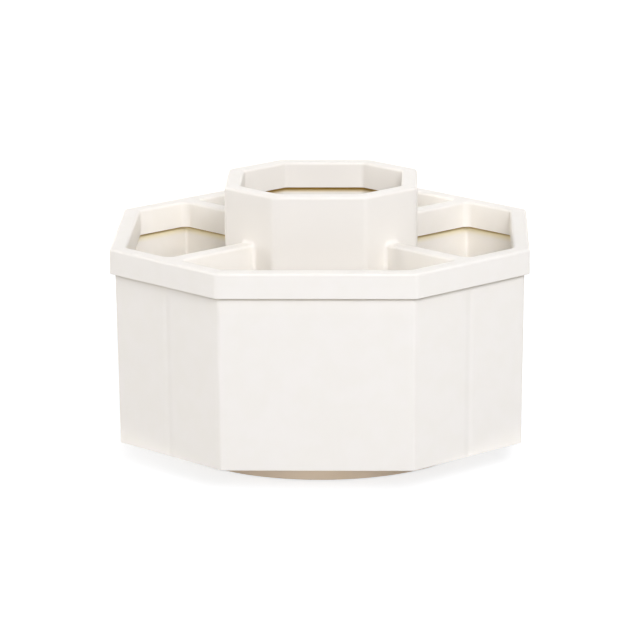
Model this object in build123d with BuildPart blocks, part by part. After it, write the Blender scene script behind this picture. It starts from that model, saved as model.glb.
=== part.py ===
from build123d import *

import os
from math import hypot, radians, sqrt, tan

os.makedirs("parts", exist_ok=True)

# Rotating pen holder: an octagonal carousel on a round ball-bearing base.
# Millimetres, +Z up, origin on the desk under the middle of the object.

# Rim of the carousel: four wide faces square to X and Y, four narrower faces between them
rim_half_width = 80.0
rim_half_face = 37.5
rim_corner = 3.0
lining_corner = 2.8

# Central pen tube, the same kind of octagon
tube_half_width = 36.95
tube_half_face = 17.85
tube_corner = 3.5
tube_lining_corner = 2.4
bore_corner = 1.0

# Heights
foot_proud = 0.8
disc_height = 7.4
tub_lift = 9.05
tub_height = 76.55
tube_rise = 20.15
skirt_depth = 9.8
lining_depth = 10.2

# Walls of the two mouldings
cap_skin = 1.9
cap_play = 0.1
tub_wall = 2.4
tube_wall = 2.0
divider_wall = 2.4
floor_thickness = 2.4
wall_draft = 0.82
core_draft = 0.4

# Rounded edges and corners of the mouldings
tub_corner = 2.2
tub_inner_corner = 1.0
tub_foot_round = 0.2
divider_round = 3.0
rim_round = 1.1
skirt_round = 0.2
tube_round = 1.2
tube_bore_round = 1.2
tube_foot_round = 1.4
floor_round = 1.5

# Catches that hold the frame on the tub
catch_length = 14.0
catch_height = 1.2
catch_proud = 0.4
catch_drop = 3.4
catch_play = 0.15

# Base disc
disc_radius = 57.3
disc_plate = 2.6
disc_wall = 2.2
disc_round = 1.2
disc_ribs = 8
disc_rib_depth = 3.0
rib_width = 1.6
track_width = 8.0
track_depth = 1.0

# Foot pads in pockets under the disc
foot_count = 4
foot_radius = 5.0
foot_thickness = 2.4
foot_ring_radius = 47.5
foot_pocket_play = 0.1
foot_boss_wall = 1.5

# Ball bearing
race_radius = 40.0
ball_count = 16
ball_radius = 2.38
groove_play = 0.15
groove_depth = 0.9
cage_width = 7.4
cage_play = 0.4
ball_pocket_play = 0.2

# Turntable plate
plate_radius = 50.0
plate_thickness = 2.6
plate_edge_width = 1.6
plate_edge_height = 1.4
hub_radius = 7.5
hub_height = 2.0

# Screws that hold the plate to the tub
screw_count = 4
screw_ring_radius = 26.0
screw_radius = 1.5
screw_head_radius = 2.9
screw_length = 6.4
screw_tip_radius = 0.5
screw_tip_length = 1.5
screw_play = 0.05
screw_cross = 3.5
screw_slot = 0.8
screw_hole_spare = 0.8
screw_boss_wall = 1.9
boss_height = 5.0
access_radius = 4.0

# Locating ring and ribs under the tub's floor
locating_play = 0.3
locating_wall = 1.8
locating_lap = 1.6
tub_ribs = 8

# Pivot
pin_radius = 3.0
pin_head_radius = 6.0
pin_head_height = 1.6
pin_seat_height = 2.6
pin_fit = 0.02
pin_tail = 0.8
disc_boss_radius = 8.5
bush_wall = 1.0
bush_play = 0.05
bush_flange_radius = 6.0
bush_flange = 1.0
washer_radius = 6.2
washer_thickness = 0.8
washer_play = 0.15
clip_radius = 5.2
clip_thickness = 0.6
clip_groove = 0.6
clip_gap = 3.4
edge_break = 0.3

# How near two positions count as the same when edges are picked
same_place = 0.01

# Levels that follow
disc_bottom = foot_proud
disc_top = disc_bottom + disc_height
disc_under = disc_top - disc_plate
tub_bottom = disc_bottom + tub_lift
rim_top = tub_bottom + tub_height
tube_top = rim_top + tube_rise
skirt_bottom = rim_top - skirt_depth
lining_bottom = rim_top - lining_depth
wall_top = rim_top - cap_skin
tube_wall_top = tube_top - cap_skin
tube_lining_bottom = tube_top - lining_depth
groove_radius = ball_radius + groove_play
ball_level = disc_top - groove_depth + groove_radius
plate_bottom = ball_level + groove_radius - groove_depth
plate_top = plate_bottom + plate_thickness
hub_top = plate_top + hub_height
floor_bottom = plate_top + boss_height
floor_top = floor_bottom + floor_thickness
pin_seat = disc_bottom + pin_seat_height
flange_bottom = plate_bottom - bush_flange
disc_boss_top = flange_bottom - washer_thickness - washer_play
upper_washer_bottom = hub_top + washer_play
clip_bottom = upper_washer_bottom + washer_thickness
clip_top = clip_bottom + clip_thickness
catch_bottom = wall_top - catch_drop - catch_height

# Insets and widths that follow
cap_inset = cap_skin + cap_play
rim_land = tub_wall + 2 * cap_inset
tube_land = tube_wall + 2 * cap_inset
divider_land = divider_wall + 2 * cap_inset
divider_slot = divider_wall + 2 * cap_play
bush_bore = pin_radius + bush_play
bush_outside = bush_bore + bush_wall
washer_bore = pin_radius + washer_play
screw_hole = screw_radius + screw_play
screw_head_height = screw_head_radius - screw_radius
foot_pocket = foot_radius + foot_pocket_play
wall_lean = (skirt_bottom - tub_bottom) * tan(radians(wall_draft))
wall_inset = cap_inset + tub_wall
tube_wall_inset = cap_inset + tube_wall
track_inner = race_radius - track_width / 2
track_outer = race_radius + track_width / 2
plate_edge_inner = plate_radius - plate_edge_width
disc_rib_middle = (disc_radius - disc_wall + disc_boss_radius) / 2
screw_hole_depth = screw_length - plate_thickness + screw_hole_spare
face_distances = (rim_half_width, (rim_half_width + rim_half_face) / sqrt(2))


def octagon(half_width, half_face, inset, corner):
    """Plan of an octagon with wide and narrow faces at 45 degrees, moved in by inset all round."""
    width = half_width - inset
    face = half_face - inset * tan(radians(45 / 2))
    with BuildSketch(mode=Mode.PRIVATE) as plan:
        Rectangle(2 * width, 2 * width)
        chamfer(plan.vertices(), length=width - face)
        if corner > 0:
            fillet(plan.vertices(), radius=corner)
    return plan.sketch


def rim_plan(inset, corner=0.0):
    return octagon(rim_half_width, rim_half_face, inset, corner)


def tube_plan(inset, corner=0.0):
    return octagon(tube_half_width, tube_half_face, inset, corner)


def compartment_plan(rim_inset, tube_inset, divider_width, corner, wall_round, tube_side_round):
    """The four spaces between the outer wall, the tube and the dividers on the diagonals."""
    outer = rim_plan(rim_inset, corner)
    inner = tube_plan(tube_inset, tube_corner - tube_inset)
    with BuildSketch(mode=Mode.PRIVATE) as plan:
        add(outer)
        add(inner, mode=Mode.SUBTRACT)
        for angle in (45, -45):
            Rectangle(4 * rim_half_width, divider_width, rotation=angle, mode=Mode.SUBTRACT)
        if tube_side_round > 0:
            fillet(beside_dividers(plan, divider_width)[:8], radius=tube_side_round)
        if wall_round > 0:
            fillet(beside_dividers(plan, divider_width)[-8:], radius=wall_round)
    return plan.sketch


def beside_dividers(plan, divider_width):
    """Corners of the plan on the dividers' sides, from the tube outwards."""
    corners = plan.vertices().filter_by(lambda v: abs(abs(v.X) - abs(v.Y)) < divider_width)
    return corners.sort_by(plan_radius)


def plan_radius(shape):
    """Distance of a vertex, edge or face from the upright axis."""
    return hypot(shape.center().X, shape.center().Y)


def at_level(shape, level):
    """Edges of a part that lie flat at one level."""
    return shape.edges().filter_by_position(Axis.Z, level - same_place, level + same_place)


def upright(shape):
    """Faces that stand up, before or after their draft."""
    return shape.faces().filter_by(lambda f: abs(f.normal_at().Z) < 0.5)


def divider_ends(frame):
    """Edges where the frame's dividers meet the narrow faces of the tube."""
    tube_flat = (tube_half_width + tube_half_face) / sqrt(2)

    def on_tube(edge):
        x, y, z = (abs(value) for value in edge.center())
        on_divider = lining_bottom + same_place < z < rim_top + same_place and abs(x - y) < divider_land
        return on_divider and abs((x + y) / sqrt(2) - tube_flat) < same_place

    return frame.edges().filter_by(on_tube)


def catch_plan(play):
    """Catch ridges, one in the middle of each outer wall, or their pockets with play."""
    with BuildSketch(mode=Mode.PRIVATE) as plan:
        for start_angle, distance in zip((0, 45), face_distances):
            with PolarLocations(distance - cap_inset, 4, start_angle=start_angle):
                Rectangle(2 * (catch_proud + play), catch_length + 2 * play)
    return plan.sketch


def ring_section(inner, outer, low, high, mode=Mode.ADD):
    """Half section of a ring, between two radii and two levels."""
    with Locations(((inner + outer) / 2, (low + high) / 2)):
        Rectangle(outer - inner, high - low, mode=mode)


# Top frame: an inverted-U cap over the outer wall, the dividers and the central tube
with BuildPart() as top_frame:
    with BuildSketch(Plane.XY.offset(lining_bottom)):
        add(rim_plan(0, rim_corner))
        add(
            compartment_plan(rim_land, 0, divider_land, lining_corner, divider_round, 0),
            mode=Mode.SUBTRACT,
        )
    extrude(amount=lining_depth)
    with BuildSketch(Plane.XY.offset(rim_top)):
        add(tube_plan(0, tube_corner))
    extrude(amount=tube_rise)
    # Rounded top edges, all but the four short ones where a divider meets the tube
    fillet(at_level(top_frame, rim_top).sort_by(plan_radius)[4:], radius=rim_round)
    # Hollow rounding up and over each divider where it runs into the tube
    fillet(divider_ends(top_frame), radius=tube_foot_round)
    fillet(at_level(top_frame, tube_top), radius=tube_round)
    with BuildSketch(Plane.XY.offset(lining_bottom)):
        add(tube_plan(tube_land, tube_lining_corner))
    extrude(amount=tube_top - lining_bottom, mode=Mode.SUBTRACT)
    fillet(at_level(top_frame, tube_top).sort_by(plan_radius)[:16], radius=tube_bore_round)
    # Outer skirt, a little shorter than the linings
    with BuildSketch(Plane.XY.offset(lining_bottom)):
        add(rim_plan(-rim_corner))
        add(rim_plan(cap_skin + cap_play / 2), mode=Mode.SUBTRACT)
    extrude(amount=skirt_bottom - lining_bottom, mode=Mode.SUBTRACT)
    fillet(at_level(top_frame, skirt_bottom).sort_by(plan_radius)[-16:], radius=skirt_round)
    # Channel that takes the outer wall and the dividers
    with BuildSketch(Plane.XY.offset(lining_bottom)):
        add(rim_plan(cap_skin))
        add(
            compartment_plan(rim_land - cap_skin, cap_skin, divider_slot, 0, 0, 0),
            mode=Mode.SUBTRACT,
        )
    extrude(amount=wall_top - lining_bottom, mode=Mode.SUBTRACT)
    # Channel that takes the tube's wall, and the shorter lining inside the tube
    with BuildSketch(Plane.XY.offset(lining_bottom)):
        add(tube_plan(cap_skin, tube_corner - cap_skin))
    extrude(amount=tube_lining_bottom - lining_bottom, mode=Mode.SUBTRACT)
    with BuildSketch(Plane.XY.offset(tube_lining_bottom)):
        add(tube_plan(cap_skin, tube_corner - cap_skin))
        add(tube_plan(tube_land - cap_skin, tube_lining_corner + cap_skin), mode=Mode.SUBTRACT)
    extrude(amount=tube_wall_top - tube_lining_bottom, mode=Mode.SUBTRACT)
    # Pockets for the catches
    with BuildSketch(Plane.XY.offset(catch_bottom - catch_play)):
        add(catch_plan(catch_play))
    extrude(amount=catch_height + 2 * catch_play, mode=Mode.SUBTRACT)
top_frame.part.label = "top_frame"
export_step(top_frame.part, "parts/top_frame.step")

# Mould cores of the four compartments and the tube, narrower towards the floor
with BuildPart() as straight_cores:
    with BuildSketch(Plane.XY.offset(floor_top)):
        add(
            compartment_plan(
                wall_inset, cap_inset, divider_wall, tub_inner_corner, tub_inner_corner, divider_round
            )
        )
    extrude(amount=lining_bottom - floor_top)
    with BuildSketch(Plane.XY.offset(floor_top)):
        add(tube_plan(tube_wall_inset, bore_corner + cap_inset))
    extrude(amount=tube_lining_bottom - floor_top)

cores = []
for straight_core in straight_cores.solids():
    with BuildPart() as core:
        add(straight_core)
        core_top = core.faces().sort_by(Axis.Z)[-1].center().Z
        draft(upright(core), Plane.XY.offset(core_top), -core_draft)
        fillet(at_level(core, floor_top), radius=floor_round)
    cores.append(core.part)

# Tub: outer walls, floor, dividers and tube wall, with tongues that stand up into the frame
with BuildPart() as tub:
    with BuildSketch(Plane.XY.offset(tub_bottom)):
        add(rim_plan(cap_inset, tub_corner))
    extrude(amount=skirt_bottom - tub_bottom)
    draft(upright(tub), Plane.XY.offset(skirt_bottom), -wall_draft)
    fillet(at_level(tub, tub_bottom), radius=tub_foot_round)
    with BuildSketch(Plane.XY.offset(skirt_bottom)):
        add(rim_plan(cap_inset, tub_corner))
    extrude(amount=wall_top - skirt_bottom)
    with BuildSketch(Plane.XY.offset(wall_top)):
        add(tube_plan(cap_inset, tube_corner - cap_inset))
    extrude(amount=tube_wall_top - wall_top)
    with BuildSketch(Plane.XY.offset(lining_bottom)):
        add(compartment_plan(wall_inset, cap_inset, divider_wall, 0, 0, 0))
    extrude(amount=wall_top - lining_bottom, mode=Mode.SUBTRACT)
    with BuildSketch(Plane.XY.offset(tube_lining_bottom)):
        add(tube_plan(tube_wall_inset, bore_corner + cap_inset))
    extrude(amount=tube_wall_top - tube_lining_bottom, mode=Mode.SUBTRACT)
    for core in cores:
        add(core, mode=Mode.SUBTRACT)
    with BuildSketch(Plane.XY.offset(catch_bottom)):
        add(catch_plan(0))
    extrude(amount=catch_height)
    # Hollow underside with a ring round the turntable plate, ribs and screw bosses
    with BuildSketch(Plane.XY.offset(tub_bottom)):
        add(rim_plan(cap_inset + wall_lean + tub_wall))
    extrude(amount=floor_bottom - tub_bottom, mode=Mode.SUBTRACT)
    with BuildSketch(Plane.XY.offset(plate_top - locating_lap)):
        with PolarLocations(rim_half_width, tub_ribs):
            Rectangle(2 * (rim_half_width - plate_radius - locating_play), rib_width)
        add(rim_plan(cap_inset + wall_lean + tub_wall / 2), mode=Mode.INTERSECT)
        Circle(plate_radius + locating_play + locating_wall)
        Circle(plate_radius + locating_play, mode=Mode.SUBTRACT)
    extrude(amount=floor_bottom - plate_top + locating_lap)
    with BuildSketch(Plane.XY.offset(plate_top)):
        with PolarLocations(screw_ring_radius, screw_count):
            Circle(screw_hole + screw_boss_wall)
    extrude(amount=boss_height)
    with BuildSketch(Plane.XY.offset(plate_top)):
        with PolarLocations(screw_ring_radius, screw_count):
            Circle(screw_hole)
    extrude(amount=screw_hole_depth, mode=Mode.SUBTRACT)
tub.part.label = "tub"
export_step(tub.part, "parts/tub.step")

# Turntable plate: upper half of the bearing, with a hub for the bush and countersunk holes
with BuildPart() as turntable_plate:
    with BuildSketch(Plane.XZ) as plate_section:
        ring_section(0, plate_radius, plate_bottom, plate_top)
        ring_section(plate_edge_inner, plate_radius, plate_top, plate_top + plate_edge_height)
        ring_section(0, hub_radius, plate_top, hub_top)
        ring_section(0, bush_outside + pin_fit, plate_bottom, hub_top, Mode.SUBTRACT)
        with Locations((race_radius, ball_level)):
            Circle(groove_radius, mode=Mode.SUBTRACT)
    revolve(axis=Axis.Z)
    with Locations(Plane(origin=(0, 0, plate_bottom), x_dir=(1, 0, 0), z_dir=(0, 0, -1))):
        with PolarLocations(screw_ring_radius, screw_count):
            CounterSinkHole(screw_hole, screw_head_radius + screw_play, counter_sink_angle=90)
turntable_plate.part.label = "turntable_plate"
export_step(turntable_plate.part, "parts/turntable_plate.step")

# Countersunk screws, driven up through the disc's access holes
with BuildPart() as screw:
    with BuildSketch(Plane.XZ):
        with BuildLine():
            Polyline(
                (0, plate_bottom),
                (screw_head_radius, plate_bottom),
                (screw_radius, plate_bottom + screw_head_height),
                (screw_radius, plate_bottom + screw_length - screw_tip_length),
                (screw_tip_radius, plate_bottom + screw_length),
                (0, plate_bottom + screw_length),
                close=True,
            )
        make_face()
    revolve(axis=Axis.Z)
    with BuildSketch(Plane.XY.offset(plate_bottom)):
        for angle in (0, 90):
            Rectangle(screw_cross, screw_slot, rotation=angle)
    extrude(amount=screw_slot, mode=Mode.SUBTRACT)
with BuildPart() as plate_screws:
    with PolarLocations(screw_ring_radius, screw_count):
        add(screw.part)
plate_screws.part.label = "plate_screws"
export_step(plate_screws.part, "parts/plate_screws.step")

# Base disc: dished from below, with the ball track, pivot boss, foot pockets and ribs
with BuildPart() as base_disc:
    with BuildSketch(Plane.XZ) as disc_section:
        ring_section(0, disc_radius, disc_bottom, disc_top)
        fillet(disc_section.vertices().group_by(Axis.Y)[-1].sort_by(Axis.X)[-1], radius=disc_round)
        fillet(disc_section.vertices().group_by(Axis.Y)[0].sort_by(Axis.X)[-1], radius=edge_break)
        ring_section(0, disc_radius - disc_wall, disc_bottom, disc_under, Mode.SUBTRACT)
        ring_section(track_inner, track_outer, disc_under - track_depth, disc_under)
        ring_section(0, disc_boss_radius, pin_seat, disc_boss_top)
        ring_section(0, pin_radius + pin_fit, pin_seat, disc_boss_top, Mode.SUBTRACT)
        with Locations((race_radius, ball_level)):
            Circle(groove_radius, mode=Mode.SUBTRACT)
    revolve(axis=Axis.Z)
    with BuildSketch(Plane.XY.offset(disc_under - disc_rib_depth)):
        with PolarLocations(disc_rib_middle, disc_ribs, start_angle=180 / disc_ribs):
            Rectangle(disc_radius - disc_boss_radius, rib_width)
    extrude(amount=disc_rib_depth)
    with BuildSketch(Plane.XY.offset(disc_bottom)):
        with PolarLocations(foot_ring_radius, foot_count, start_angle=180 / foot_count):
            Circle(foot_pocket + foot_boss_wall)
    extrude(amount=disc_under - disc_bottom)
    with BuildSketch(Plane.XY.offset(disc_bottom)):
        with PolarLocations(foot_ring_radius, foot_count, start_angle=180 / foot_count):
            Circle(foot_pocket)
    extrude(amount=foot_thickness - foot_proud, mode=Mode.SUBTRACT)
    with BuildSketch(Plane.XY.offset(disc_bottom)):
        with PolarLocations(screw_ring_radius, screw_count):
            Circle(access_radius)
    extrude(amount=disc_height, mode=Mode.SUBTRACT)
base_disc.part.label = "base_disc"
export_step(base_disc.part, "parts/base_disc.step")

# Rubber foot pads
with BuildPart() as foot_pads:
    with BuildSketch():
        with PolarLocations(foot_ring_radius, foot_count, start_angle=180 / foot_count):
            Circle(foot_radius)
    extrude(amount=foot_thickness)
    chamfer(at_level(foot_pads, 0), length=edge_break)
foot_pads.part.label = "foot_pads"
export_step(foot_pads.part, "parts/foot_pads.step")

# Ball cage and balls
with BuildPart() as ball_cage:
    with BuildSketch(Plane.XY.offset(disc_top + cage_play)):
        Circle(race_radius + cage_width / 2)
        Circle(race_radius - cage_width / 2, mode=Mode.SUBTRACT)
        with PolarLocations(race_radius, ball_count):
            Circle(ball_radius + ball_pocket_play, mode=Mode.SUBTRACT)
    extrude(amount=plate_bottom - disc_top - 2 * cage_play)
ball_cage.part.label = "ball_cage"
export_step(ball_cage.part, "parts/ball_cage.step")

with BuildPart(Plane.XY.offset(ball_level)) as bearing_balls:
    with PolarLocations(race_radius, ball_count):
        Sphere(ball_radius)
bearing_balls.part.label = "bearing_balls"
export_step(bearing_balls.part, "parts/bearing_balls.step")

# Pivot pin with its head under the disc's boss and a groove for the snap ring
with BuildPart() as pivot_pin:
    with BuildSketch(Plane.XZ) as pin_section:
        ring_section(0, pin_head_radius, pin_seat - pin_head_height, pin_seat)
        ring_section(0, pin_radius, pin_seat, clip_top + pin_tail)
        ring_section(pin_radius - clip_groove, pin_radius, clip_bottom, clip_top + pin_fit, Mode.SUBTRACT)
        chamfer(pin_section.vertices().sort_by(Axis.Y)[-1:], length=edge_break)
    revolve(axis=Axis.Z)
pivot_pin.part.label = "pivot_pin"
export_step(pivot_pin.part, "parts/pivot_pin.step")

# Flanged bush in the plate's hub
with BuildPart() as pivot_bush:
    with BuildSketch(Plane.XZ):
        ring_section(bush_bore, bush_flange_radius, flange_bottom, plate_bottom)
        ring_section(bush_bore, bush_outside, plate_bottom, hub_top)
    revolve(axis=Axis.Z)
pivot_bush.part.label = "pivot_bush"
export_step(pivot_bush.part, "parts/pivot_bush.step")

# Washers below and above the turning plate
for washer_name, washer_level in (("thrust_washer", disc_boss_top), ("pivot_washer", upper_washer_bottom)):
    with BuildPart() as washer:
        with BuildSketch(Plane.XY.offset(washer_level)):
            Circle(washer_radius)
            Circle(washer_bore, mode=Mode.SUBTRACT)
        extrude(amount=washer_thickness)
    washer.part.label = washer_name
    export_step(washer.part, f"parts/{washer_name}.step")

# Snap ring in the pin's groove
with BuildPart() as pivot_clip:
    with BuildSketch(Plane.XY.offset(clip_bottom)):
        Circle(clip_radius)
        Circle(pin_radius - clip_groove + pin_fit, mode=Mode.SUBTRACT)
        with Locations((clip_radius / 2, 0)):
            Rectangle(clip_radius, clip_gap, mode=Mode.SUBTRACT)
    extrude(amount=clip_thickness)
pivot_clip.part.label = "pivot_clip"
export_step(pivot_clip.part, "parts/pivot_clip.step")
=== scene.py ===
import bmesh
import bpy
import math
from mathutils import Matrix, Vector


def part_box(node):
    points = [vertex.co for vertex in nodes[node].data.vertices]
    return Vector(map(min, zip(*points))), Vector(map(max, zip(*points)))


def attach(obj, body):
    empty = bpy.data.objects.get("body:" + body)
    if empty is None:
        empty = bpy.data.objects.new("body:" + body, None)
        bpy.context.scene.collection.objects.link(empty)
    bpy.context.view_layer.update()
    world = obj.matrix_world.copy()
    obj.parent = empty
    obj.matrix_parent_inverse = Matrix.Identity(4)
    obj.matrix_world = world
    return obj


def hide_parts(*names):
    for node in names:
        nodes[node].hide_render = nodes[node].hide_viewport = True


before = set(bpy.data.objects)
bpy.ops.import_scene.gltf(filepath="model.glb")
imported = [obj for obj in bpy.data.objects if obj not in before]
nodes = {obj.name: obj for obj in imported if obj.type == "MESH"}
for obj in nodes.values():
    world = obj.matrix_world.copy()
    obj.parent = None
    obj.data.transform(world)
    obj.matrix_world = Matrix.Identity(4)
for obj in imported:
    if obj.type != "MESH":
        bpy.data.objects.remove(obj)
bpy.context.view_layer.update()                                  # nodes of model.glb, each set in place
scene = bpy.context.scene
mm = 0.001                                         # one unit of the scene is a metre
fullTurn = 2 * math.pi
diagonal = math.sqrt(0.5)                          # either part of a unit length at 45 degrees
white = (1.0, 1.0, 1.0, 1.0)


# Helpers for objects, and for shader and geometry node trees

def addObject(name, data):
    thing = bpy.data.objects.new(name, data)
    scene.collection.objects.link(thing)
    return thing


def addNode(tree, kind, **settings):
    node = tree.nodes.new(kind)
    for name, value in settings.items():
        setattr(node, name, value)
    return node


def feed(tree, socket, value):                     # value is a plain value or another node's output
    if isinstance(value, bpy.types.NodeSocket):
        tree.links.new(value, socket)
    else:
        socket.default_value = value


def maths(tree, operation, *values, clamp=False):
    node = addNode(tree, "ShaderNodeMath", operation=operation, use_clamp=clamp)
    for socket, value in zip(node.inputs, values):
        feed(tree, socket, value)
    return node.outputs[0]


def slant(tree, across, along):                    # length over two sides at right angles
    squares = [maths(tree, "POWER", side, 2.0) for side in (across, along)]
    return maths(tree, "SQRT", maths(tree, "ADD", *squares))


def fade(tree, value, start, end, low=0.0, high=1.0):    # smooth step from low at start to high at end
    node = addNode(tree, "ShaderNodeMapRange", interpolation_type="SMOOTHSTEP")
    for socket, item in zip(node.inputs, (value, start, end, low, high)):
        feed(tree, socket, item)
    return node.outputs[0]


def place(tree):                                   # x, y and z of the point, in metres
    coordinates = addNode(tree, "ShaderNodeTexCoord")
    split = addNode(tree, "ShaderNodeSeparateXYZ")
    tree.links.new(coordinates.outputs["Object"], split.inputs[0])
    return split.outputs[0], split.outputs[1], split.outputs[2]


def noise(tree, size, detail, stretch=(1.0, 1.0, 1.0)):    # size is that of a spot, in metres
    coordinates = addNode(tree, "ShaderNodeTexCoord")
    mapping = addNode(tree, "ShaderNodeMapping")
    mapping.inputs["Scale"].default_value = stretch
    tree.links.new(coordinates.outputs["Object"], mapping.inputs["Vector"])
    texture = addNode(tree, "ShaderNodeTexNoise", noise_dimensions="3D")
    tree.links.new(mapping.outputs[0], texture.inputs["Vector"])
    feed(tree, texture.inputs["Scale"], maths(tree, "DIVIDE", 1.0, size))
    feed(tree, texture.inputs["Detail"], detail)
    return texture.outputs["Fac"]


def startGroup(name, inputs, outputs):             # inputs with their starting values, outputs by name
    tree = bpy.data.node_groups.new(name, "ShaderNodeTree")
    for label, value in inputs.items():
        socket = tree.interface.new_socket(label, in_out="INPUT", socket_type="NodeSocketFloat")
        socket.default_value = value
    for label in outputs:
        tree.interface.new_socket(label, in_out="OUTPUT", socket_type="NodeSocketFloat")
    return tree, addNode(tree, "NodeGroupInput").outputs, addNode(tree, "NodeGroupOutput").inputs


def useGroup(tree, group, values):
    node = addNode(tree, "ShaderNodeGroup", node_tree=group)
    for label, value in values.items():
        feed(tree, node.inputs[label], value)
    return node.outputs


# Shared effects: each puts out masks or heights from 0 to 1

skinPattern = {                                    # a rise is the noise's span over which its mask grows
    "grainDetail": 2.5, "cloudDetail": 3.0, "cloudRise": (0.35, 0.65),
    "polishSize": 0.4, "polishDetail": 4.0, "polishStretch": (1.0, 1.0, 0.3), "polishRise": (0.3, 0.7),
}


def makeMouldedSkin(pattern):                      # spark-eroded grain and faint clouds of a moulded surface
    tree, given, out = startGroup(
        "mouldedSkin", {"Grain Size": 0.5 * mm, "Cloud Size": 30 * mm}, ("Grain", "Cloud", "Polish"))
    clouds = noise(tree, given["Cloud Size"], pattern["cloudDetail"])
    patchSize = maths(tree, "MULTIPLY", given["Cloud Size"], pattern["polishSize"])
    patches = noise(tree, patchSize, pattern["polishDetail"], pattern["polishStretch"])
    feed(tree, out["Grain"], noise(tree, given["Grain Size"], pattern["grainDetail"]))
    feed(tree, out["Cloud"], fade(tree, clouds, *pattern["cloudRise"]))
    feed(tree, out["Polish"], fade(tree, patches, *pattern["polishRise"]))
    return tree


def makeOctagonInset():                            # how far a point lies inside an upright octagonal wall
    tree, given, out = startGroup(
        "octagonInset", {"Half Width": 80 * mm, "Half Face": 37.5 * mm}, ("Inset",))
    x, y = (maths(tree, "ABSOLUTE", side) for side in place(tree)[:2])
    flat = maths(tree, "SUBTRACT", given["Half Width"], maths(tree, "MAXIMUM", x, y))
    reach = maths(tree, "ADD", given["Half Width"], given["Half Face"])
    corner = maths(tree, "SUBTRACT", reach, maths(tree, "ADD", x, y))
    feed(tree, out["Inset"], maths(tree, "MINIMUM", flat, maths(tree, "MULTIPLY", corner, diagonal)))
    return tree


rubPattern = {"solid": 0.3, "patchSize": 6 * mm, "detail": 4.0, "rise": (0.35, 0.6)}


def makeOctagonRub(pattern):                       # rubbed band along the top edges of an octagonal ring
    tree, given, out = startGroup(
        "octagonRub", {"Inset": 0.0, "Level": 86.4 * mm, "Reach": 2 * mm}, ("Rub",))
    drop = maths(tree, "SUBTRACT", given["Level"], place(tree)[2])
    solid = maths(tree, "MULTIPLY", given["Reach"], pattern["solid"])
    band = fade(tree, slant(tree, given["Inset"], drop), solid, given["Reach"], 1.0, 0.0)
    patches = fade(tree, noise(tree, pattern["patchSize"], pattern["detail"]), *pattern["rise"])
    feed(tree, out["Rub"], maths(tree, "MULTIPLY", band, patches))
    return tree


def makeSeamShade():                               # painted shadow line and painted warm shade just below the frame's edge
    tree, given, out = startGroup("seamShade", {
        "Inset": 0.0, "Wall": 3 * mm, "Level": 76.2 * mm, "Above": 0.05 * mm,
        "Hold": 0.0, "Line": 1 * mm, "Reach": 3 * mm}, ("Line", "Shade"))
    below = maths(tree, "SUBTRACT", given["Level"], place(tree)[2])
    behind = maths(tree, "GREATER_THAN", given["Inset"], given["Wall"])
    under = maths(tree, "GREATER_THAN", maths(tree, "ADD", below, given["Above"]), 0.0)
    inside = maths(tree, "MULTIPLY", behind, under)
    # painted shadow line just below the edge, then painted warm shade fading further down
    line = fade(tree, below, given["Hold"], given["Line"], 1.0, 0.0)
    shade = fade(tree, below, 0.0, given["Reach"], 1.0, 0.0)
    feed(tree, out["Line"], maths(tree, "MULTIPLY", inside, line))
    feed(tree, out["Shade"], maths(tree, "MULTIPLY", inside, shade))
    return tree


def makeSinkLines():                               # shallow upright dips outside, where the dividers join
    tree, given, out = startGroup(
        "sinkLines", {"Line Width": 2 * mm, "Wall Distance": 79 * mm, "Top Level": 76.6 * mm}, ("Dip",))
    x, y, z = place(tree)
    x, y = maths(tree, "ABSOLUTE", x), maths(tree, "ABSOLUTE", y)
    beside = maths(tree, "ABSOLUTE", maths(tree, "MULTIPLY", maths(tree, "SUBTRACT", x, y), diagonal))
    outward = maths(tree, "MULTIPLY", maths(tree, "ADD", x, y), diagonal)
    onWall = maths(tree, "GREATER_THAN", outward, given["Wall Distance"])
    outside = maths(tree, "MULTIPLY", onWall, maths(tree, "LESS_THAN", z, given["Top Level"]))
    line = fade(tree, beside, 0.0, given["Line Width"], 1.0, 0.0)
    feed(tree, out["Dip"], maths(tree, "MULTIPLY", line, outside))
    return tree


def makePinMarks():                                # rings left by the mould's ejector pins, round the axis
    tree, given, out = startGroup("pinMarks", {
        "Count": 8.0, "Ring Radius": 60 * mm, "Pin Radius": 2 * mm, "Line Width": 0.25 * mm,
        "Level": 20 * mm, "Level Slack": 0.5 * mm}, ("Mark",))
    x, y, z = place(tree)
    radius = slant(tree, x, y)
    step = maths(tree, "DIVIDE", fullTurn, given["Count"])
    turned = maths(tree, "WRAP", maths(tree, "ARCTAN2", y, x), step, 0.0)
    angle = maths(tree, "SUBTRACT", turned, maths(tree, "MULTIPLY", step, 0.5))
    across = maths(tree, "MULTIPLY", radius, maths(tree, "SINE", angle))
    outward = maths(tree, "MULTIPLY", radius, maths(tree, "COSINE", angle))
    fromPin = slant(tree, maths(tree, "SUBTRACT", outward, given["Ring Radius"]), across)
    edge = maths(tree, "ABSOLUTE", maths(tree, "SUBTRACT", fromPin, given["Pin Radius"]))
    ring = fade(tree, edge, 0.0, given["Line Width"], 1.0, 0.0)
    flat = maths(tree, "COMPARE", z, given["Level"], given["Level Slack"])
    feed(tree, out["Mark"], maths(tree, "MULTIPLY", ring, flat))
    return tree


lathePattern = {"heightShare": 0.5, "detail": 2.0}


def makeLatheLines(pattern):                       # fine circles that turning leaves on steel
    tree, given, out = startGroup("latheLines", {"Line Size": 0.2 * mm}, ("Line",))
    x, y, z = place(tree)
    height = maths(tree, "MULTIPLY", z, pattern["heightShare"])
    texture = addNode(tree, "ShaderNodeTexNoise", noise_dimensions="1D")
    feed(tree, texture.inputs["W"], maths(tree, "ADD", slant(tree, x, y), height))
    feed(tree, texture.inputs["Scale"], maths(tree, "DIVIDE", 1.0, given["Line Size"]))
    feed(tree, texture.inputs["Detail"], pattern["detail"])
    feed(tree, out["Line"], texture.outputs["Fac"])
    return tree


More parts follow.
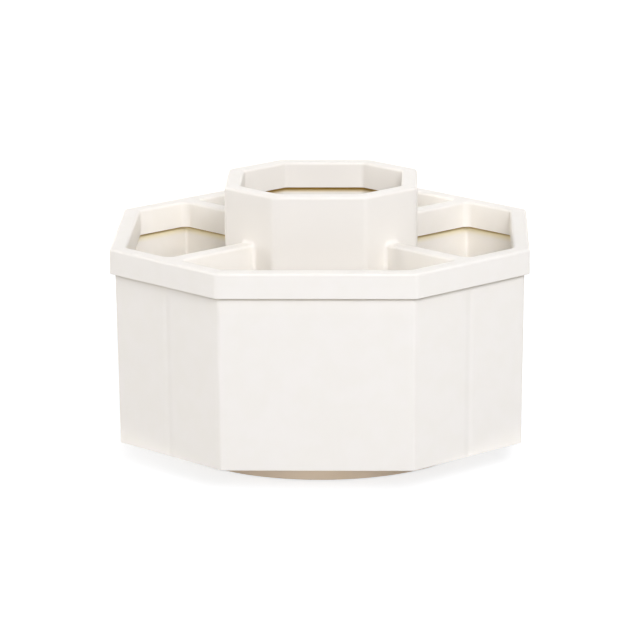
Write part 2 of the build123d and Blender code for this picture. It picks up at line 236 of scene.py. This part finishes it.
mouldedSkin = makeMouldedSkin(skinPattern)
octagonInset = makeOctagonInset()
octagonRub = makeOctagonRub(rubPattern)
seamShade = makeSeamShade()
sinkLines = makeSinkLines()
pinMarks = makePinMarks()
latheLines = makeLatheLines(lathePattern)
print("shared effects ready")


# Materials

def srgb(*channels):                               # 0 to 255 as a screen shows it, to linear
    def linear(c):
        c = c / 255
        return c / 12.92 if c <= 0.04045 else ((c + 0.055) / 1.055) ** 2.4
    return tuple(linear(c) for c in channels) + (1.0,)


def startMaterial(name):
    material = bpy.data.materials.new(name)
    material.use_nodes = True
    return material, material.node_tree, material.node_tree.nodes["Principled BSDF"]


def setValues(shader, values):                     # plain values, on the shader's own sockets
    for label, value in values.items():
        shader.inputs[label].default_value = value


def mixColours(tree, factor, first, second):       # sockets 6 and 7 and output 2 are those for colours
    node = addNode(tree, "ShaderNodeMix", data_type="RGBA")
    for index, value in ((0, factor), (6, first), (7, second)):
        feed(tree, node.inputs[index], value)
    return node.outputs[2]


def addBump(tree, shader, height, distance, after=None):
    bump = addNode(tree, "ShaderNodeBump")
    bump.inputs["Distance"].default_value = distance
    tree.links.new(height, bump.inputs["Height"])
    if after:
        tree.links.new(after, bump.inputs["Normal"])
    tree.links.new(bump.outputs[0], shader.inputs["Normal"])
    return bump.outputs[0]


def mixSkin(tree, look):                           # moulded skin, its clouded colour and roughness
    skin = useGroup(tree, mouldedSkin, look["skin"])
    colour = mixColours(tree, skin["Cloud"], look["colour"], look["cloudColour"])
    roughness = fade(tree, skin["Polish"], 0.0, 1.0, *look["roughness"])
    return skin, colour, roughness


def coverSkin(tree, shader, look):
    skin, colour, roughness = mixSkin(tree, look)
    feed(tree, shader.inputs["Base Color"], colour)
    feed(tree, shader.inputs["Roughness"], roughness)
    return skin


# Levels stand above the desk. The tube's painted shade begins over tubeBlend, counted inwards from its outline,
# and over tubeLip, counted down from its top.

shellLook = {
    "colour": srgb(249, 244, 235), "cloudColour": srgb(248, 243, 233), "roughness": (0.56, 0.66),
    "skin": {"Grain Size": 0.45 * mm, "Cloud Size": 8 * mm}, "grainDepth": 0.008 * mm, "specular": 0.4,
    "rim": {"Half Width": 80.0 * mm, "Half Face": 37.5 * mm}, "rimTop": 86.4 * mm, "rimWidth": 6 * mm,
    "tube": {"Half Width": 36.95 * mm, "Half Face": 17.85 * mm}, "tubeTop": 106.55 * mm,
    # painted shade: the tube's outside deeper and warmer than the shell
    "tubeShadeColour": srgb(241, 236, 227), "tubeBlend": (-3 * mm, -0.5 * mm), "tubeLip": (0.4 * mm, 1.6 * mm),
    # rubbed edges are smoother as real wear; their darker colour is partly handling soil and partly painted
    # shade against the edges' highlight
    "rubSoilAndShadeColour": srgb(247, 241, 231), "rubShare": 0.5, "rubPolish": 0.05,
    "sinkWidth": 2.6 * mm, "sinkDepth": 0.22 * mm,
    # painted shadow line and painted warm shade below the lining's and the tube's edges
    "seamShadowColour": srgb(172, 136, 62), "shadeColour": srgb(252, 238, 184),
    "rimSeam": {"Level": 76.2 * mm, "Hold": 0.3 * mm, "Line": 1.6 * mm, "Reach": 4.0 * mm},
    "tubeSeam": {"Level": 96.35 * mm, "Hold": 0.9 * mm, "Line": 2.5 * mm, "Reach": 3.0 * mm},
    # painted shadow line on the outer wall under the skirt
    "skirtSeam": {"Level": 76.6 * mm, "Line": 1.3 * mm}, "skirtShadowColour": srgb(232, 222, 204),
}


def makeShellPlastic(name, look):                  # ivory shells with rubbed edges, and painted shade at the seams, under the skirt and on the tube
    material, tree, shader = startMaterial(name)
    skin, colour, roughness = mixSkin(tree, look)
    rimInset = useGroup(tree, octagonInset, look["rim"])["Inset"]
    tubeInset = useGroup(tree, octagonInset, look["tube"])["Inset"]
    outset = maths(tree, "SUBTRACT", look["rimWidth"], rimInset)    # from the rim's inner side outwards
    rimRub = useGroup(tree, octagonRub, {"Inset": rimInset, "Level": look["rimTop"]})["Rub"]
    tubeRub = useGroup(tree, octagonRub, {"Inset": tubeInset, "Level": look["tubeTop"]})["Rub"]
    rub = maths(tree, "MAXIMUM", rimRub, tubeRub)
    rimSeam = useGroup(tree, seamShade, {"Inset": rimInset, **look["rimSeam"]})
    tubeSeam = useGroup(tree, seamShade, {"Inset": tubeInset, **look["tubeSeam"]})
    # painted shadow line on the outer wall under the skirt
    skirtSeam = useGroup(tree, seamShade, {"Inset": outset, **look["skirtSeam"]})
    # mask of the tube's painted shade, inwards from its outline and down from its top
    belowTop = maths(tree, "SUBTRACT", look["tubeTop"], place(tree)[2])
    tubeShadeMask = maths(tree, "MULTIPLY", fade(tree, tubeInset, *look["tubeBlend"]),
                   fade(tree, belowTop, *look["tubeLip"]))
    layers = (                                     # masks and their colours, the lowest first
        (tubeShadeMask, look["tubeShadeColour"]),
        # rubbed edges: partly handling soil, partly painted shade against their highlight
        (maths(tree, "MULTIPLY", rub, look["rubShare"]), look["rubSoilAndShadeColour"]),
        (skirtSeam["Line"], look["skirtShadowColour"]),
        # painted warm shade below the seams
        (maths(tree, "MAXIMUM", rimSeam["Shade"], tubeSeam["Shade"]), look["shadeColour"]),
        # painted shadow line just below the seams
        (maths(tree, "MAXIMUM", rimSeam["Line"], tubeSeam["Line"]), look["seamShadowColour"]),
    )
    for mask, layerColour in layers:
        colour = mixColours(tree, mask, colour, layerColour)
    smoother = maths(tree, "MULTIPLY", rub, look["rubPolish"])
    feed(tree, shader.inputs["Base Color"], colour)
    feed(tree, shader.inputs["Roughness"], maths(tree, "SUBTRACT", roughness, smoother))
    setValues(shader, {"Specular IOR Level": look["specular"]})
    grain = addBump(tree, shader, skin["Grain"], look["grainDepth"])
    sink = useGroup(tree, sinkLines, {
        "Line Width": look["sinkWidth"], "Top Level": look["skirtSeam"]["Level"]})
    addBump(tree, shader, maths(tree, "SUBTRACT", 1.0, sink["Dip"]), look["sinkDepth"], grain)
    return material


baseLook = {
    "colour": srgb(236, 216, 192), "cloudColour": srgb(231, 210, 184), "roughness": (0.45, 0.58),
    "skin": {"Grain Size": 0.6 * mm, "Cloud Size": 30 * mm}, "grainDepth": 0.012 * mm,
    "pins": {"Count": 8.0, "Ring Radius": 30 * mm, "Level": 5.6 * mm}, "pinDepth": 0.08 * mm,
}


def makeBasePlastic(name, look):                   # the disc and plate, a shade darker and coarser
    material, tree, shader = startMaterial(name)
    skin = coverSkin(tree, shader, look)
    marks = useGroup(tree, pinMarks, look["pins"])
    grain = addBump(tree, shader, skin["Grain"], look["grainDepth"])
    addBump(tree, shader, maths(tree, "SUBTRACT", 1.0, marks["Mark"]), look["pinDepth"], grain)
    return material


acetalLook = {
    "colour": srgb(236, 236, 230), "cloudColour": srgb(226, 227, 222), "roughness": (0.26, 0.38),
    "skin": {"Grain Size": 0.3 * mm, "Cloud Size": 8 * mm}, "grainDepth": 0.004 * mm,
    "milk": 0.15, "milkReach": (1.0 * mm, 1.0 * mm, 0.9 * mm),
}


def makeAcetal(name, look):                        # milky bearing plastic of cage, bush and washer
    material, tree, shader = startMaterial(name)
    skin = coverSkin(tree, shader, look)
    setValues(shader, {"Subsurface Weight": look["milk"], "Subsurface Radius": look["milkReach"]})
    addBump(tree, shader, skin["Grain"], look["grainDepth"])
    return material


ballSteelLook = {
    "colour": srgb(214, 215, 217), "cloudShade": 0.86, "roughness": (0.08, 0.16),
    "skin": {"Cloud Size": 5 * mm}, "lines": {"Line Size": 0.3 * mm}, "lineDepth": 0.0005 * mm,
}
zincSteelLook = {
    "colour": srgb(190, 192, 194), "cloudShade": 0.86, "roughness": (0.28, 0.4),
    "skin": {"Cloud Size": 5 * mm}, "lines": {"Line Size": 0.15 * mm}, "lineDepth": 0.003 * mm,
}


def makeSteel(name, look):                         # turned, with duller clouds
    material, tree, shader = startMaterial(name)
    darker = tuple(look["cloudShade"] * c for c in look["colour"][:3]) + (1.0,)
    coverSkin(tree, shader, {**look, "cloudColour": darker})
    setValues(shader, {"Metallic": 1.0})
    lines = useGroup(tree, latheLines, look["lines"])
    addBump(tree, shader, lines["Line"], look["lineDepth"])
    return material


rubberLook = {
    "colour": srgb(58, 56, 54), "cloudColour": srgb(74, 71, 68), "roughness": (0.7, 0.88),
    "skin": {"Grain Size": 0.4 * mm, "Cloud Size": 6 * mm}, "grainDepth": 0.03 * mm,
}


def makeRubber(name, look):                        # soft dark feet with a dusty bloom
    material, tree, shader = startMaterial(name)
    skin = coverSkin(tree, shader, look)
    addBump(tree, shader, skin["Grain"], look["grainDepth"])
    return material


shellPlastic = makeShellPlastic("shellPlastic", shellLook)
basePlastic = makeBasePlastic("basePlastic", baseLook)
whiteAcetal = makeAcetal("whiteAcetal", acetalLook)
ballSteel = makeSteel("ballSteel", ballSteelLook)
zincSteel = makeSteel("zincSteel", zincSteelLook)
footRubber = makeRubber("footRubber", rubberLook)

finishes = {
    "tub": shellPlastic, "top_frame": shellPlastic,
    "base_disc": basePlastic, "turntable_plate": basePlastic,
    "ball_cage": whiteAcetal, "pivot_bush": whiteAcetal, "thrust_washer": whiteAcetal,
    "pivot_pin": zincSteel, "pivot_washer": zincSteel, "pivot_clip": zincSteel,
}
for nodeName, finish in finishes.items():
    nodes[nodeName].data.materials.clear()
    nodes[nodeName].data.materials.append(finish)
print("materials ready")


# Geometry node trees: what repeats or follows a rule

def startTree(name, inputs):                       # inputs by name: kind of socket and starting value
    tree = bpy.data.node_groups.new(name, "GeometryNodeTree")
    tree.interface.new_socket("Geometry", in_out="INPUT", socket_type="NodeSocketGeometry")
    tree.interface.new_socket("Finish", in_out="INPUT", socket_type="NodeSocketMaterial")
    for label, (kind, value) in inputs.items():
        socket = tree.interface.new_socket(label, in_out="INPUT", socket_type="NodeSocket" + kind)
        socket.default_value = value
    tree.interface.new_socket("Geometry", in_out="OUTPUT", socket_type="NodeSocketGeometry")
    return tree, addNode(tree, "NodeGroupInput").outputs


def endTree(tree, geometry, finish):
    real = addNode(tree, "GeometryNodeRealizeInstances")
    coat = addNode(tree, "GeometryNodeSetMaterial")
    tree.links.new(geometry, real.inputs["Geometry"])
    tree.links.new(real.outputs[0], coat.inputs["Geometry"])
    tree.links.new(finish, coat.inputs["Material"])
    tree.links.new(coat.outputs[0], addNode(tree, "NodeGroupOutput").inputs[0])
    return tree


def makeRingPattern():                             # copies round the axis, each turned on its own by chance
    tree, given = startTree("ringPattern", {
        "Count": ("Int", 4), "Ring Radius": ("Float", 30 * mm), "Start Angle": ("Float", 0.0),
        "Loose Turn": ("Float", 0.0), "Seed": ("Int", 1)})
    points = addNode(tree, "GeometryNodeMeshCircle")
    tree.links.new(given["Count"], points.inputs["Vertices"])
    tree.links.new(given["Ring Radius"], points.inputs["Radius"])
    begin = addNode(tree, "ShaderNodeCombineXYZ")
    tree.links.new(given["Start Angle"], begin.inputs["Z"])
    turned = addNode(tree, "GeometryNodeTransform")
    tree.links.new(points.outputs["Mesh"], turned.inputs["Geometry"])
    tree.links.new(begin.outputs[0], turned.inputs["Rotation"])
    chance = addNode(tree, "FunctionNodeRandomValue", data_type="FLOAT")
    tree.links.new(given["Seed"], chance.inputs["Seed"])
    tree.links.new(given["Loose Turn"], chance.inputs[3])    # the highest value; the lowest stays 0
    index = addNode(tree, "GeometryNodeInputIndex").outputs[0]
    step = maths(tree, "DIVIDE", fullTurn, given["Count"])
    around = maths(tree, "MULTIPLY_ADD", index, step, given["Start Angle"])
    spin = addNode(tree, "ShaderNodeCombineXYZ")
    feed(tree, spin.inputs["Z"], maths(tree, "ADD", around, chance.outputs[1]))
    copies = addNode(tree, "GeometryNodeInstanceOnPoints")
    tree.links.new(turned.outputs[0], copies.inputs["Points"])
    tree.links.new(given["Geometry"], copies.inputs["Instance"])
    tree.links.new(spin.outputs[0], copies.inputs["Rotation"])
    return endTree(tree, copies.outputs[0], given["Finish"])


def makeScrewThread():                             # raises a helical thread on the plain shank of a screw
    tree, given = startTree("screwThread", {
        "Pitch": ("Float", 1 * mm), "Depth": ("Float", 0.4 * mm), "Start Level": ("Float", 0.0),
        "End Level": ("Float", 5 * mm), "Crest Power": ("Float", 1.4), "Least Radius": ("Float", 0.001 * mm)})
    split = addNode(tree, "ShaderNodeSeparateXYZ")
    tree.links.new(addNode(tree, "GeometryNodeInputPosition").outputs[0], split.inputs[0])
    x, y, z = split.outputs
    radius = maths(tree, "MAXIMUM", slant(tree, x, y), given["Least Radius"])
    turns = maths(tree, "DIVIDE", maths(tree, "ARCTAN2", y, x), fullTurn)
    phase = maths(tree, "FRACT", maths(tree, "SUBTRACT", maths(tree, "DIVIDE", z, given["Pitch"]), turns))
    fromCrest = maths(tree, "ABSOLUTE", maths(tree, "MULTIPLY_ADD", phase, 2.0, -1.0))
    ridge = maths(tree, "POWER", maths(tree, "SUBTRACT", 1.0, fromCrest), given["Crest Power"])
    aboveStart = maths(tree, "SUBTRACT", z, given["Start Level"])
    belowEnd = maths(tree, "SUBTRACT", given["End Level"], z)
    runIn = maths(tree, "DIVIDE", aboveStart, given["Pitch"], clamp=True)
    runOut = maths(tree, "DIVIDE", belowEnd, given["Pitch"], clamp=True)
    height = maths(tree, "MULTIPLY", maths(tree, "MULTIPLY", runIn, runOut), ridge)
    push = maths(tree, "DIVIDE", maths(tree, "MULTIPLY", height, given["Depth"]), radius)
    offset = addNode(tree, "ShaderNodeCombineXYZ")
    feed(tree, offset.inputs["X"], maths(tree, "MULTIPLY", x, push))
    feed(tree, offset.inputs["Y"], maths(tree, "MULTIPLY", y, push))
    move = addNode(tree, "GeometryNodeSetPosition")
    tree.links.new(given["Geometry"], move.inputs["Geometry"])
    tree.links.new(offset.outputs[0], move.inputs["Offset"])
    return endTree(tree, move.outputs[0], given["Finish"])


ringPattern = makeRingPattern()
screwThread = makeScrewThread()


def addTree(source, tree, settings):
    modifier = source.modifiers.new(tree.name, "NODES")
    modifier.node_group = tree
    items = tree.interface.items_tree
    sockets = {item.name: item.identifier for item in items if item.in_out == "INPUT"}
    for label, value in settings.items():
        modifier[sockets[label]] = value


def finishPiece(name, source, sharpAngle, body, node):    # plain mesh of what the trees give
    bpy.context.view_layer.update()
    evaluated = source.evaluated_get(bpy.context.evaluated_depsgraph_get())
    mesh = bpy.data.meshes.new_from_object(evaluated)
    mesh.name = name
    bpy.data.objects.remove(source)
    mesh.polygons.foreach_set("use_smooth", [True] * len(mesh.polygons))
    mesh.set_sharp_from_angle(angle=math.radians(sharpAngle))
    piece = addObject(name, mesh)
    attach(piece, body)
    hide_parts(node)
    print(name, len(mesh.polygons), "faces")


def lathe(name, profile, steps):                   # closed solid turned about Z from (radius, height) pairs
    turning = bmesh.new()
    points = [turning.verts.new((radius, 0, height)) for radius, height in profile]
    edges = [turning.edges.new(pair) for pair in zip(points, points[1:])]
    bmesh.ops.spin(turning, geom=points + edges, cent=(0, 0, 0), axis=(0, 0, 1), angle=fullTurn, steps=steps)
    bmesh.ops.remove_doubles(turning, verts=turning.verts, dist=0.001 * mm)
    bmesh.ops.recalc_face_normals(turning, faces=turning.faces)
    mesh = bpy.data.meshes.new(name)
    turning.to_mesh(mesh)
    turning.free()
    return addObject(name, mesh)


def arc(centre, radius, start, end, steps):        # points of an arc in (radius, height), angles in degrees
    angles = [math.radians(start + (end - start) * i / steps) for i in range(steps + 1)]
    return [(centre[0] + radius * math.cos(a), centre[1] + radius * math.sin(a)) for a in angles]


# Bearing balls

ballLook = {"count": 16, "segments": 14, "steps": 28, "sharpAngle": 40}


def makeBalls(look):
    low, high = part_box("bearing_balls")
    radius = (high.z - low.z) / 2
    level = (high.z + low.z) / 2
    outline = arc((0, level), radius, -90, 90, look["segments"])
    outline[0], outline[-1] = (0, level - radius), (0, level + radius)
    source = lathe("ball", outline, look["steps"])
    addTree(source, ringPattern, {
        "Finish": ballSteel, "Count": look["count"], "Ring Radius": high.x - radius})
    finishPiece("bearingBalls", source, look["sharpAngle"], "bearing", "bearing_balls")


makeBalls(ballLook)


# Foot pads

footLook = {
    "count": 4, "radius": 5.0 * mm, "edgeRound": 0.5 * mm, "edgeSteps": 6, "topChamfer": 0.15 * mm,
    "grooveRadius": 3.2 * mm, "grooveWidth": 0.7 * mm, "grooveDepth": 0.3 * mm, "steps": 48, "sharpAngle": 35,
}


def makeFeet(look):                                # a soft rim and one ring groove in the sole
    low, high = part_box("foot_pads")
    radius, soft, deep = look["radius"], look["edgeRound"], look["grooveDepth"]
    inner = look["grooveRadius"] - look["grooveWidth"] / 2
    outer = look["grooveRadius"] + look["grooveWidth"] / 2
    outline = [(0, low.z), (inner - deep / 2, low.z), (inner, low.z + deep)]
    outline += [(outer, low.z + deep), (outer + deep / 2, low.z)]
    outline += arc((radius - soft, low.z + soft), soft, -90, 0, look["edgeSteps"])
    outline += [(radius, high.z - look["topChamfer"]), (radius - look["topChamfer"], high.z), (0, high.z)]
    source = lathe("foot", outline, look["steps"])
    ringRadius = (high.x - radius) / diagonal      # the pads stand at 45 degrees
    addTree(source, ringPattern, {
        "Finish": footRubber, "Count": look["count"], "Ring Radius": ringRadius,
        "Start Angle": math.radians(180 / look["count"])})
    finishPiece("footPads", source, look["sharpAngle"], "base", "foot_pads")


makeFeet(footLook)


# Plate screws

screwLook = {
    "count": 4, "headRadius": 2.9 * mm, "headEdge": 0.12 * mm, "crestRadius": 1.5 * mm,
    "coreRadius": 1.12 * mm, "pitch": 1.0 * mm, "tipRadius": 0.35 * mm, "tipLength": 1.5 * mm,
    "recessLength": 3.5 * mm, "recessWidth": 0.8 * mm, "recessDepth": 1.2 * mm, "recessTaper": 0.55,
    "rowHeight": 0.1 * mm, "steps": 32, "sharpAngle": 30, "looseTurn": 90, "seed": 5,
}


def makeCross(look, level):                        # tapered cutter of the cross recess, wide end down
    long, wide = look["recessLength"] / 2, look["recessWidth"] / 2
    corner = [(long, -wide), (long, wide), (wide, wide)]
    outline = []
    for quarter in range(4):
        turn = Matrix.Rotation(quarter * fullTurn / 4, 2)
        outline += [turn @ Vector(point) for point in corner]
    spare = 0.2 * mm                               # the cutter starts a little below the head's face
    slope = (1 - look["recessTaper"]) / look["recessDepth"]
    rows = [(level - spare, 1 + slope * spare), (level + look["recessDepth"], look["recessTaper"])]
    corners = [(x * size, y * size, z) for z, size in rows for x, y in outline]
    count = len(outline)
    faces = [tuple(range(count))[::-1], tuple(range(count, 2 * count))]
    faces += [(i, (i + 1) % count, (i + 1) % count + count, i + count) for i in range(count)]
    mesh = bpy.data.meshes.new("crossCutter")
    mesh.from_pydata(corners, [], faces)
    return addObject("crossCutter", mesh)


def makeScrews(look):                              # countersunk, heads down, each left turned by chance
    low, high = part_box("plate_screws")
    head, crest, core, edge = (look[name] for name in ("headRadius", "crestRadius", "coreRadius", "headEdge"))
    neck = low.z + head - crest
    shankEnd = high.z - look["tipLength"]
    rows = round((shankEnd - neck) / look["rowHeight"])
    outline = [(0, low.z), (head - edge, low.z), (head, low.z + edge), (crest, neck)]
    outline += [(core, neck + (shankEnd - neck) * row / rows) for row in range(1, rows + 1)]
    tipRows = round(look["tipLength"] / look["rowHeight"])
    for row in range(1, tipRows + 1):
        share = row / tipRows
        outline.append((core + (look["tipRadius"] - core) * share, shankEnd + look["tipLength"] * share))
    outline.append((0, high.z))
    source = lathe("screw", outline, look["steps"])
    cutter = makeCross(look, low.z)
    recess = source.modifiers.new("recess", "BOOLEAN")
    recess.object = cutter
    recess.operation = "DIFFERENCE"
    recess.solver = "EXACT"
    addTree(source, screwThread, {
        "Finish": zincSteel, "Pitch": look["pitch"], "Depth": crest - core,
        "Start Level": neck, "End Level": high.z - look["rowHeight"]})
    addTree(source, ringPattern, {
        "Finish": zincSteel, "Count": look["count"], "Ring Radius": high.x - head,
        "Loose Turn": math.radians(look["looseTurn"]), "Seed": look["seed"]})
    finishPiece("plateScrews", source, look["sharpAngle"], "carousel", "plate_screws")
    bpy.data.objects.remove(cutter)


makeScrews(screwLook)
print("repeated pieces ready")


# Stage: floor, light and camera

def seenMask(tree, path):                          # 1 where it is seen, mirrored or through glass too
    through = maths(tree, "MAXIMUM", path["Is Glossy Ray"], path["Is Transmission Ray"])
    return maths(tree, "MAXIMUM", path["Is Camera Ray"], through)


floorLook = {                                      # lift is a glow that is seen but lights nothing
    "size": 6.0, "roughness": 0.9, "lift": 0.76,
    "seenColour": (0.45, 0.45, 0.45, 1.0), "bounceColour": (0.4, 0.4, 0.4, 1.0),
}


def makeFloor(look):                               # white to the camera, but it keeps the object's shadow
    mesh = bpy.data.meshes.new("floor")
    half = look["size"] / 2
    corners = [(-half, -half, 0), (half, -half, 0), (half, half, 0), (-half, half, 0)]
    mesh.from_pydata(corners, [], [(0, 1, 2, 3)])
    floor = addObject("floor", mesh)
    material, tree, shader = startMaterial("paperFloor")
    path = addNode(tree, "ShaderNodeLightPath").outputs
    colour = mixColours(tree, path["Is Camera Ray"], look["bounceColour"], look["seenColour"])
    lift = maths(tree, "MULTIPLY", seenMask(tree, path), look["lift"])
    setValues(shader, {"Roughness": look["roughness"], "Specular IOR Level": 0.0, "Emission Color": white})
    feed(tree, shader.inputs["Base Color"], colour)
    feed(tree, shader.inputs["Emission Strength"], lift)
    clear = addNode(tree, "ShaderNodeBsdfTransparent")
    below = addNode(tree, "ShaderNodeMixShader")   # from below it is clear, so the underside can be looked at
    tree.links.new(addNode(tree, "ShaderNodeNewGeometry").outputs["Backfacing"], below.inputs[0])
    tree.links.new(shader.outputs[0], below.inputs[1])
    tree.links.new(clear.outputs[0], below.inputs[2])
    tree.links.new(below.outputs[0], tree.nodes["Material Output"].inputs["Surface"])
    mesh.materials.append(material)


def makeWorld():                                   # seen as plain white, but it lights nothing
    world = bpy.data.worlds.new("studio")
    scene.world = world
    world.use_nodes = True
    tree = world.node_tree
    backdrop = tree.nodes["Background"]
    backdrop.inputs["Color"].default_value = white
    feed(tree, backdrop.inputs["Strength"], seenMask(tree, addNode(tree, "ShaderNodeLightPath").outputs))


lampRig = {"distance": 2.2, "size": 0.9, "lowest": 468 * mm, "aim": (0, 0, 50 * mm)}
lamps = {                                          # degrees round from the front and up from the floor, watts
    "frontLamp": {"turn": 0, "rise": 22, "power": 19.4, "colour": (0.955, 0.96, 1.0)},
    "keyLamp": {"turn": 20, "rise": 35, "power": 21.3, "colour": (0.93, 0.94, 1.0)},
    "lowKeyLamp": {"turn": 20, "rise": 22, "power": 4.2, "colour": (0.81, 0.87, 1.0)},
    "highSideLamp": {"turn": 90, "rise": 60, "power": 6.1, "colour": (0.94, 0.95, 1.0)},
    "lowSideLamp": {"turn": 90, "rise": 8, "power": 6.8, "colour": (0.96, 0.96, 0.98)},
    "highLeftLamp": {"turn": -90, "rise": 60, "power": 4.9, "colour": (0.97, 0.96, 0.98)},
    "leftLamp": {"turn": -90, "rise": 30, "power": 3.3, "colour": (0.98, 0.93, 0.88)},
    "lowLeftLamp": {"turn": -90, "rise": 8, "power": 13.7, "colour": (0.965, 0.96, 0.98)},
    "backRightLamp": {"turn": 135, "rise": 8, "power": 14.7, "colour": (0.96, 0.97, 1.0)},
    "backLeftLamp": {"turn": -135, "rise": 8, "power": 19.4, "colour": (0.96, 0.97, 1.0)},
    "backLamp": {"turn": 180, "rise": 35, "power": 9.2, "colour": (0.96, 0.97, 1.0)},
}


def direction(turn, rise):                         # away from the object, both in degrees
    turn, rise = math.radians(turn), math.radians(rise)
    return Vector((math.sin(turn) * math.cos(rise), -math.cos(turn) * math.cos(rise), math.sin(rise)))


def addLamp(name, shape, look, spot, aim):
    light = bpy.data.lights.new(name, "AREA")
    light.shape = shape
    light.energy = look["power"]
    light.color = look["colour"]
    lamp = addObject(name, light)
    lamp.location = spot
    lamp.rotation_mode = "QUATERNION"
    lamp.rotation_quaternion = (Vector(aim) - lamp.location).to_track_quat("-Z", "Y")
    return lamp


def makeSoftbox(name, look, rig):                  # square, faces the object and stays clear of the floor
    spot = Vector(rig["aim"]) + direction(look["turn"], look["rise"]) * rig["distance"]
    spot.z = max(spot.z, rig["lowest"])
    lamp = addLamp(name, "SQUARE", look, spot, rig["aim"])
    lamp.data.size = rig["size"]


footLight = {                                      # thin strip at desk level for the disc under the tub
    "from": (0, -104 * mm, 2 * mm), "aim": (0, -57 * mm, 4.5 * mm), "width": 190 * mm, "height": 3 * mm,
    "spread": 24, "power": 0.002, "colour": (1.0, 0.97, 0.93),
}


def makeFootLight(look):
    lamp = addLamp("footLight", "RECTANGLE", look, look["from"], look["aim"])
    lamp.data.size = look["width"]
    lamp.data.size_y = look["height"]
    lamp.data.spread = math.radians(look["spread"])
    lamp.visible_camera = False


cameraSet = {                                      # turn to the right, rise and roll in degrees
    "lens": 230.96, "sensor": 36.0, "near": 0.1, "far": 20.0, "distance": 1616.98 * mm,
    "aim": (-1.41 * mm, 10.93 * mm, 47.19 * mm), "turn": 1.81, "rise": 13.304, "roll": -0.372,
}


def makeCamera(settings):                          # stands where the photo was taken from
    data = bpy.data.cameras.new("photoCamera")
    data.lens = settings["lens"]
    data.sensor_width = settings["sensor"]
    data.clip_start = settings["near"]
    data.clip_end = settings["far"]
    camera = addObject("photoCamera", data)
    back = direction(settings["turn"], settings["rise"])
    roll = Matrix.Rotation(math.radians(settings["roll"]), 3, "Z").to_quaternion()
    camera.location = Vector(settings["aim"]) + back * settings["distance"]
    camera.rotation_mode = "QUATERNION"
    camera.rotation_quaternion = (-back).to_track_quat("-Z", "Y") @ roll
    bpy.context.scene.camera = camera


scene.view_settings.view_transform = "Standard"
makeFloor(floorLook)
makeWorld()
for lampName, lampLook in lamps.items():
    makeSoftbox(lampName, lampLook, lampRig)
makeFootLight(footLight)
makeCamera(cameraSet)
print("stage ready")
